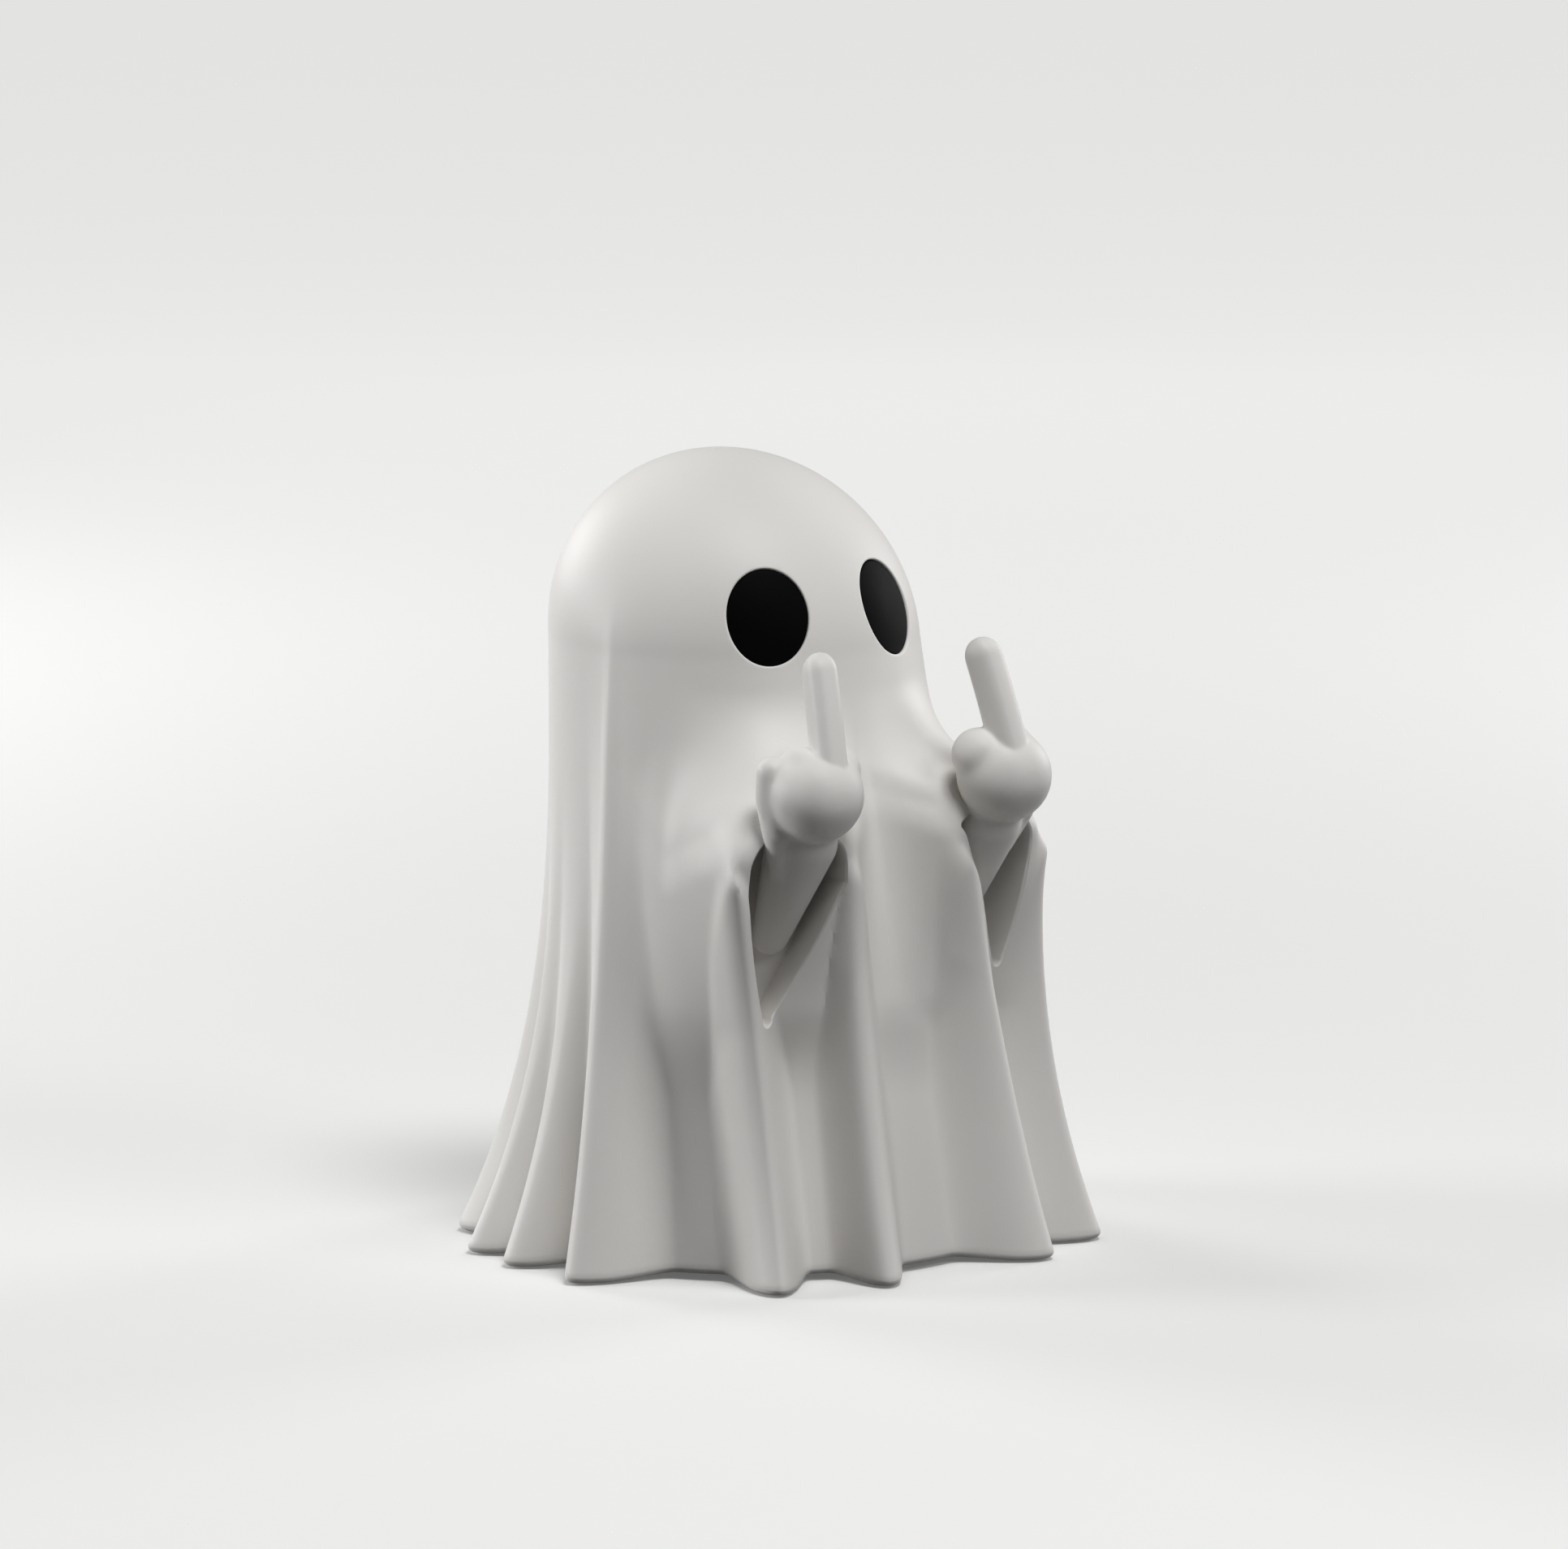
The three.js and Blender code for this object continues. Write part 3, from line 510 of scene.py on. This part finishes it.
def slot_cutter(side, columns=260):
    """The slot's cutter. It opens out at the skin, so that it leaves a rounded lip."""
    outline = slot_outline(side, columns)
    ahead_of = np.roll(outline, -1, axis=0) - np.roll(outline, 1, axis=0)
    outward_of = np.stack([ahead_of[:, 1], -ahead_of[:, 0]], axis=1)
    outward_of /= np.linalg.norm(outward_of, axis=1)[:, None]
    turn = np.radians(np.linspace(LIP_TURN, 0, LIP_STEPS))
    grow = SLOT_LIP * (1 - np.cos(turn))
    below = SLOT_LIP * (np.sin(turn) - 1)
    lips = [skin_ahead(side, outline + outward_of * g) + b for g, b in zip(grow, below)]
    levels = np.array([np.full(columns, SLOT_CLEARANCE), *lips,
                       np.full(columns, body_ahead(SLOT_TOP_Z, WALL))])
    grow = np.array([grow[0], *grow, 0])
    rows = len(grow) + 1

    def place(column, row):
        index = (-side * column).astype(int) % columns
        section = np.clip(row - 1, 0, len(grow) - 1).astype(int)
        flat = outline[index] + outward_of[index] * grow[section][:, None]
        flat[(row == 0) | (row == rows)] = (0, SLOT_SIDE_Z)
        points = arm_point(flat[:, 0], levels[section, index], flat[:, 1])
        points[:, 0] *= side
        return points

    cutter = moulded("slot_cutter", columns, rows, place)
    outward(cutter)
    return cutter


def eye_axes(side):
    angle = math.radians(EYE_ANGLE)
    narrowing = HEAD_RADIUS * EYE_SHARE / (DOME_HEIGHT * math.sqrt(1 - EYE_SHARE ** 2))
    out = Vector((math.sin(angle), -math.cos(angle), LEAN * math.cos(angle) + narrowing)).normalized()
    across = Vector((math.cos(angle), math.sin(angle), 0))
    centre = Vector(polar(EYE_ANGLE, float(body_radius(EYE_ANGLE, EYE_Z)), EYE_Z))
    flip = Vector((side, 1, 1))
    return centre * flip, across * flip, out.cross(across) * flip, out * flip


def depth_to_skin(points, out, inset):
    """How far each point lies below a skin inside the plain body, measured along a direction."""
    low, high = np.full(len(points), -EYE_SEARCH), np.full(len(points), EYE_SEARCH)
    for _ in range(SEARCH_STEPS):
        middle = (low + high) / 2
        at = points + out * middle[:, None]
        angle = np.degrees(np.arctan2(at[:, 0], LEAN * at[:, 2] - at[:, 1]))
        reach = np.hypot(at[:, 0], LEAN * at[:, 2] - at[:, 1])
        inside = reach < body_radius(angle, at[:, 2], inset)
        low, high = np.where(inside, middle, low), np.where(inside, high, middle)
    return low


def oval_plug(name, side, sections, columns=128, rings=10):
    """A plug along the eye's axis. Each section is its growth, its rise from the skin and, where it
    isn't 0, its depth from the eye's middle instead. Rings that follow the skin close the first."""
    centre, across, upright, out = (np.array(v) for v in eye_axes(side))
    rows = rings + len(sections)

    def place(column, row):
        turn = column * (2 * np.pi / columns) * side
        index = np.clip(row - rings, 0, len(sections) - 1).astype(int)
        grow, rise, deep = np.array(sections)[index].T
        share = np.clip(row / rings, 0, 1) * np.where(row == rows, 0, 1)
        flat = (np.cos(turn)[:, None] * across * (EYE_WIDTH / 2 + grow)[:, None]
                + np.sin(turn)[:, None] * upright * (EYE_HEIGHT / 2 + grow)[:, None]) * share[:, None]
        points = centre + flat
        skin = depth_to_skin(points, out, 0)
        return points + out * np.where(deep < 0, deep, skin + rise)[:, None]

    plug = moulded(name, columns, rows, place)
    outward(plug)
    return plug


def eye_seat(side):
    turn = np.linspace(np.pi / 2, 0, EDGE_STEPS)
    rim = [(EYE_GAP + RIM_ROUND * (1 - math.cos(t)), -RIM_ROUND * (1 - math.sin(t)), 0) for t in turn]
    start, end = (EYE_GAP + 2 * RIM_ROUND, 1, 0), (EYE_GAP, 0, -EYE_DEPTH - GLUE_GAP)
    return oval_plug("eye_seat", side, [start, *rim, end])


def plate_disc(name, grow, low, high, columns=160):
    def place(column, row):
        angle = column * (360 / columns)
        radius = body_radius(angle, np.zeros_like(angle)) - HEM_WALL + grow
        radius = np.where((row == 0) | (row == 3), 0, radius)
        z = np.where(row <= 1, high, low)
        points = polar(angle, radius, 0 * z)
        points[:, 2] = z
        return points

    return moulded(name, columns, 3, place)


def draped_sheet():
    sheet = draped_skin()
    plain = plain_body("plain_body", 0, -CUT_PAST)
    for side in (RIGHT, LEFT):
        slot = slot_cutter(side)
        cut(slot, plain, keep=True)
        cut(sheet, slot)
        cut(sheet, eye_seat(side))
    bpy.data.objects.remove(plain, do_unlink=True)
    extra = HEM_WALL + LEDGE_WIDTH - WALL
    hollow = plain_body("hollow", WALL, LEDGE_Z - CUT_PAST,
                        lambda z: extra * (1 - smoothstep(z, LEDGE_Z, LEDGE_Z + HEM_WALL_HEIGHT)))
    cut(sheet, hollow)
    cut(sheet, plate_disc("plate_seat", GLUE_GAP, -CUT_PAST, LEDGE_Z))
    sheet.name = "draped_sheet"
    sheet.data.name = "draped_sheet"
    shade(sheet, SHEET_EDGE)
    return sheet


sheet = draped_sheet()
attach(sheet, "root")
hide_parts("sheet_shell")


# Eyes

def oval_eye(side):
    """The inlay's face follows the sheet a little below it, and its edge is eased."""
    turn = np.linspace(0, np.pi / 2, EDGE_STEPS)
    edge = [(-EYE_EDGE * (1 - math.sin(t)), -EYE_RECESS - EYE_EDGE * (1 - math.cos(t)), 0) for t in turn]
    eye = oval_plug(f"{SIDE_NAME[side]}_oval_eye", side, [*edge, (0, 0, -EYE_DEPTH)], rings=24)
    shade(eye, EYE_RIM_EDGE)
    return eye


eyes = {side: oval_eye(side) for side in (RIGHT, LEFT)}
for side, eye in eyes.items():
    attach(eye, "root")
    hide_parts(f"{SIDE_NAME[side]}_eye")


# Hands. A place on a hand is given across the arm, away from the chest, then ahead and up from
# the middle of the fist.

FIST_ACROSS = -1
FIST_AHEAD = -1.6
FIST_Z = 94.6
PALM = ((-0.3, 2.1, -1.2), (9.2, 9.1, 9.0))
RING_KNUCKLE = ((-4.9, -0.1, 3.0), (5.3, 5.6, 5.3))
INDEX_KNUCKLE = ((2.9, 1.2, 3.3), (3.3, 5.6, 5.1))
THUMB_TIP = ((7.6, -0.6, 3.4), 2.9)
THUMB_JOINT = ((7.9, -0.8, -1.5), 2.7)
THUMB_HEEL = ((6.6, 0.2, -8.4), 2.9)
THUMB_ROOT = ((5.4, -2.6, -16), 1.5)
WRIST = ((0.2, -3.0, -10.6), 6.9)
ELBOW = ((2.2, -13.0, -30), 3.6)
FIST_VOXEL = 0.45
FIST_SOFTENING = 26
HAND_VOXEL = 0.32
HAND_SOFTENING = 5
FINGER_FOOT = (-1.75, 6, 0)
FINGER_LENGTH = 26.5
FINGER_LEAN = 15.4
FINGER_CURL = 7
FINGER_TILT = 2.2
FINGER_WIDTH = (6.3, 6.0)
FINGER_FLATNESS = 1.16
FINGER_SQUARENESS = 2.8
FINGER_DOME = 4.2
FINGER_ROUNDNESS = 2.1

FIST = arm_point(FIST_ACROSS, FIST_AHEAD, FIST_Z)
UP = np.array([0, 0, 1])


def from_fist(across, ahead, up):
    return FIST + ACROSS * across + ARM * ahead + UP * up


def lump(name, place, radii):
    """An egg that lies along the arm's own directions."""
    deselect()
    bpy.ops.mesh.primitive_ico_sphere_add(subdivisions=5, radius=MM)
    egg = bpy.context.object
    egg.name = name
    turn = Matrix((ACROSS, ARM, UP)).transposed().to_4x4()
    size = Matrix.Diagonal((*radii, 1))
    egg.data.transform(Matrix.Translation(Vector(from_fist(*place)) * MM) @ turn @ size)
    return egg


def limb(name, start, end, columns=64, arc=12):
    """A tapered limb with round ends. Each end is a place from the fist and a radius."""
    (low_place, low_radius), (high_place, high_radius) = start, end
    low, high = from_fist(*low_place), from_fist(*high_place)
    axis = (high - low) / np.linalg.norm(high - low)
    side = np.cross(axis, ARM)
    side = side / np.linalg.norm(side)
    front = np.cross(axis, side)
    rows = 2 * arc + 1

    def place(column, row):
        turn = column * (2 * np.pi / columns)
        top = row <= arc
        slope = np.where(top, row, row - 1) / (2 * arc) * np.pi
        radius = np.where(top, high_radius, low_radius)
        centre = np.where(top[:, None], high, low)
        flat = np.cos(turn)[:, None] * front + np.sin(turn)[:, None] * side
        return centre + flat * (radius * np.sin(slope))[:, None] + axis * (radius * np.cos(slope))[:, None]

    return moulded(name, columns, rows, place)


def finger_path(along):
    """Middle of the finger at a length along it, and the directions along it and out of its back."""
    step = np.linspace(0, 1, 60)[None, :] * along[:, None]
    lean = np.radians(FINGER_LEAN + FINGER_CURL * step / FINGER_LENGTH)
    tilt = math.radians(FINGER_TILT)
    reach = -np.sin(lean).mean(axis=1) * along
    rise = np.cos(lean).mean(axis=1) * along
    shift = -math.tan(tilt) * rise
    middle = from_fist(*FINGER_FOOT) + ACROSS * shift[:, None] + ARM * reach[:, None] + UP * rise[:, None]
    last = lean[:, -1:]
    return middle, UP * np.cos(last) - ARM * np.sin(last), ARM * np.cos(last) + UP * np.sin(last)


def finger(columns=96, rows=72):
    def place(column, row):
        turn = column * (2 * np.pi / columns)
        share = np.clip((rows - row) / rows, 0, 1)
        along = share * FINGER_LENGTH
        width = mix(*FINGER_WIDTH, share) / 2
        into = np.clip((along - (FINGER_LENGTH - FINGER_DOME)) / FINGER_DOME, 0, 1)
        half = width * np.clip(1 - into ** FINGER_ROUNDNESS, 0, 1) ** (1 / FINGER_ROUNDNESS)
        half[row == rows] = 0
        x, y = np.cos(turn), np.sin(turn)
        out = half / blend([np.abs(x), np.abs(y)], FINGER_SQUARENESS)
        middle, direction, back = finger_path(along)
        return middle + ACROSS * (x * out)[:, None] + back * (y * out * FINGER_FLATNESS)[:, None]

    return moulded("finger", columns, rows, place)


def merged(parts, name, voxel, softening):
    """Makes one skin of parts that reach into each other, and eases the creases between them."""
    for part in parts:
        outward(part)
    whole = joined(parts, name)
    apply(whole, "REMESH", mode="VOXEL", voxel_size=voxel * MM)
    apply(whole, "SMOOTH", factor=0.5, iterations=softening)
    return whole


def raised_hand():
    """The ghost's left hand with the forearm that goes into the sleeve."""
    fist = merged([
        lump("palm", *PALM),
        lump("ring_knuckle", *RING_KNUCKLE),
        lump("index_knuckle", *INDEX_KNUCKLE),
        limb("thumb_tip", THUMB_JOINT, THUMB_TIP),
        limb("thumb_bone", THUMB_HEEL, THUMB_JOINT),
        limb("thumb_root", THUMB_ROOT, THUMB_HEEL),
        limb("forearm", ELBOW, WRIST),
    ], "fist", FIST_VOXEL, FIST_SOFTENING)
    hand = merged([fist, finger()], "left_raised_hand", HAND_VOXEL, HAND_SOFTENING)
    cut(hand, plain_body("body_clearance", -GLUE_GAP, -CUT_PAST))
    shade(hand, HAND_EDGE)
    return hand


hands = {LEFT: raised_hand()}
hands[RIGHT] = mirrored(hands[LEFT], "right_raised_hand")
for side, hand in hands.items():
    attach(hand, "root")
    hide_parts(f"{SIDE_NAME[side]}_hand")


# Finishes

class Value:
    """A socket that adds Math nodes when it is used in an expression."""

    def __init__(self, finish, socket):
        self.finish = finish
        self.socket = socket

    def _math(self, operation, *values):
        return self.finish.node("ShaderNodeMath", {"operation": operation}, dict(enumerate(values)))

    def __add__(self, other):
        return self._math("ADD", self, other)

    def __mul__(self, other):
        return self._math("MULTIPLY", self, other)

    __radd__ = __add__
    __rmul__ = __mul__


class Finish:
    """A material that is built node by node."""

    def __init__(self, name, colour, roughness, **constants):
        self.material = bpy.data.materials.new(name)
        self.material.use_nodes = True
        self.tree = self.material.node_tree
        self.shader = self.tree.nodes["Principled BSDF"]
        self.set("Base Color", (*colour, 1))
        self.set("Roughness", roughness)
        for socket, value in constants.items():
            self.set(socket.replace("_", " "), value)
        self.place = self.node("ShaderNodeTexCoord", output="Object")

    def set(self, socket, value):
        self._fill(self.shader.inputs[socket], value)

    def _fill(self, socket, value):
        if isinstance(value, Value):
            self.tree.links.new(value.socket, socket)
        else:
            socket.default_value = value

    def node(self, kind, settings=None, sockets=None, output=0):
        made = self.tree.nodes.new(kind)
        for key, value in (settings or {}).items():
            if key == "stops":
                for stop, (position, colour) in zip(made.color_ramp.elements, value):
                    stop.position = position
                    stop.color = (*colour, 1)
            else:
                setattr(made, key, value)
        for key, value in (sockets or {}).items():
            self._fill(made.inputs[key], value)
        return Value(self, made.outputs[output])

    def noise(self, scale, detail=3, roughness=0.5):
        return self.node("ShaderNodeTexNoise", {"noise_dimensions": "3D"},
                         {"Vector": self.place, "Scale": scale, "Detail": detail, "Roughness": roughness})

    def between(self, share, first, second):
        return self.node("ShaderNodeMix", {"data_type": "RGBA"},
                         {0: share, 6: (*first, 1), 7: (*second, 1)}, output=2)

    def bump(self, height, distance, strength=1):
        self.set("Normal", self.node("ShaderNodeBump", {}, {"Height": height, "Distance": distance * MM,
                                                            "Strength": strength}))


def cast_white():
    finish = Finish("satin_white", (0.86, 0.85, 0.83), 0.5, Specular_IOR_Level=0.4)
    cloud = finish.noise(22, 2)
    grain = finish.noise(900, 2)
    finish.set("Base Color", finish.between(cloud, (0.855, 0.835, 0.805), (0.875, 0.86, 0.835)))
    finish.set("Roughness", 0.45 + cloud * 0.08 + grain * 0.03)
    finish.bump(grain + finish.noise(160, 2) * 2, 0.02)
    return finish.material


def eye_black():
    finish = Finish("deep_black", (0.004, 0.004, 0.0045), 0.4, Specular_IOR_Level=0.03)
    cloud = finish.noise(120, 3)
    finish.set("Base Color", finish.between(cloud, (0.001, 0.001, 0.0011), (0.002, 0.002, 0.0022)))
    finish.set("Roughness", 0.5 + cloud * 0.1)
    finish.bump(finish.noise(700, 2), 0.01)
    return finish.material


def beech():
    finish = Finish("pale_beech", (0.6, 0.42, 0.25), 0.7)
    grain = finish.noise(500, 4, 0.6)
    finish.set("Base Color", finish.between(grain, (0.5, 0.33, 0.18), (0.66, 0.48, 0.3)))
    finish.bump(grain, 0.05)
    return finish.material


def felt():
    finish = Finish("black_felt", (0.02, 0.02, 0.022), 0.95, Sheen_Weight=0.35, Sheen_Roughness=0.6)
    fluff = finish.noise(1400, 5, 0.7)
    finish.set("Base Color", finish.between(fluff, (0.011, 0.011, 0.013), (0.036, 0.036, 0.04)))
    finish.set("Roughness", 0.88 + fluff * 0.12)
    finish.bump(fluff, 0.25)
    return finish.material


def paint(piece, material):
    piece.data.materials.clear()
    piece.data.materials.append(material)


white, black, wood, cloth = cast_white(), eye_black(), beech(), felt()
for piece in (sheet, *hands.values()):
    paint(piece, white)
for piece in eyes.values():
    paint(piece, black)
nodes = frame["nodes"]
for name, material in (("base_plate", white), ("felt_pad", cloth),
                       ("right_arm_dowel", wood), ("left_arm_dowel", wood)):
    for place in nodes[name].material_slots:
        place.material = material


# Camera, lamps and floor

CAMERA_PLACE = (-0.8817, -1.2135, 0.315)
CAMERA_PITCH = -8.517
CAMERA_TRIM = 0.036
CAMERA_HEADING = math.radians(-36)
LENS = 180.745
SENSOR_WIDTH = 36
LAMP_DISTANCE = 1.25
LAMP_AIM_Z = 80
FLOOR_SIZE = 40
FLOOR_GAP = 0.15
FLOOR_COLOUR = (0.8, 0.8, 0.79)
BOUNCE_COLOUR = (0.1, 0.1, 0.1)
GLOW_COLOUR = (1, 1, 0.99, 1)
NEAR, FAR = 0.15, 1.8
NEAR_GLOW, FAR_GLOW = 0.12, 0.74
AIR_LIGHT, AIR_SEEN = 0.03, 0.75


def look_from(place, pitch, heading):
    camera = bpy.data.objects.new("photo_camera", bpy.data.cameras.new("photo_camera"))
    bpy.context.collection.objects.link(camera)
    camera.location = place
    camera.rotation_euler = (math.radians(90 + pitch), 0, heading)
    camera.data.lens = LENS
    camera.data.sensor_width = SENSOR_WIDTH
    camera.data.sensor_fit = "HORIZONTAL"
    camera.data.clip_end = 50
    return camera


camera = look_from(CAMERA_PLACE, CAMERA_PITCH, CAMERA_HEADING - math.radians(CAMERA_TRIM))
bpy.context.scene.camera = camera


def soft_lamp(name, place, target, size, power):
    light = bpy.data.lights.new(name, "AREA")
    light.shape = "DISK"
    light.size = size
    light.energy = power
    lamp = bpy.data.objects.new(name, light)
    bpy.context.collection.objects.link(lamp)
    lamp.location = place
    lamp.rotation_euler = (Vector(target) - Vector(place)).to_track_quat("-Z", "Y").to_euler()
    return lamp


def studio_lamp(name, turn, height, size, power):
    """A lamp round the ghost. Its turn is from the camera's direction towards the picture's left."""
    heading = CAMERA_HEADING - math.radians(turn)
    rise = math.radians(height)
    flat = Vector((math.sin(heading), -math.cos(heading), 0)) * math.cos(rise)
    aim = Vector((0, 0, LAMP_AIM_Z * MM))
    return soft_lamp(name, aim + (flat + Vector((0, 0, math.sin(rise)))) * LAMP_DISTANCE, aim, size, power)


studio_lamp("window_lamp", 92, 12, 0.5, 7.4)
studio_lamp("back_window_lamp", 135, 18, 0.5, 5.2)
studio_lamp("top_lamp", -30, 66, 0.5, 8.8)
studio_lamp("edge_lamp", -130, 15, 0.45, 4.4)
studio_lamp("fill_lamp", -56, 32, 0.5, 2.6)


def seen_by_camera(finish):
    """1 for what the camera sees itself, in a mirror or through glass, and 0 for light that bounces."""
    rays = [finish.node("ShaderNodeLightPath", output=kind)
            for kind in ("Is Camera Ray", "Is Glossy Ray", "Is Transmission Ray")]
    total = rays[0] + rays[1] + rays[2]
    return finish.node("ShaderNodeMath", {"operation": "MINIMUM"}, {0: total, 1: 1})


def studio_floor():
    deselect()
    bpy.ops.mesh.primitive_plane_add(size=FLOOR_SIZE, location=(0, 0, -FLOOR_GAP * MM))
    floor = bpy.context.object
    floor.name = "studio_floor"
    finish = Finish("floor_paper", FLOOR_COLOUR, 0.9)
    seen = seen_by_camera(finish)
    far = finish.node("ShaderNodeVectorMath", {"operation": "LENGTH"}, {0: finish.place}, "Value")
    haze = finish.node("ShaderNodeMapRange", {"interpolation_type": "SMOOTHSTEP"},
                       {"Value": far, "From Min": NEAR, "From Max": FAR,
                        "To Min": NEAR_GLOW, "To Max": FAR_GLOW})
    finish.set("Base Color", finish.between(seen, BOUNCE_COLOUR, FLOOR_COLOUR))
    finish.set("Emission Color", GLOW_COLOUR)
    finish.set("Emission Strength", seen * haze)
    floor.data.materials.append(finish.material)


def studio_air():
    world = bpy.data.worlds.new("studio")
    bpy.context.scene.world = world
    world.use_nodes = True
    nodes = world.node_tree.nodes
    background = nodes["Background"]
    background.inputs["Color"].default_value = GLOW_COLOUR
    rays = nodes.new("ShaderNodeLightPath")
    strength = nodes.new("ShaderNodeMapRange")
    strength.inputs["To Min"].default_value = AIR_LIGHT
    strength.inputs["To Max"].default_value = AIR_SEEN
    world.node_tree.links.new(rays.outputs["Is Camera Ray"], strength.inputs["Value"])
    world.node_tree.links.new(strength.outputs[0], background.inputs["Strength"])


studio_floor()
studio_air()

bpy.context.scene.view_settings.view_transform = "Standard"
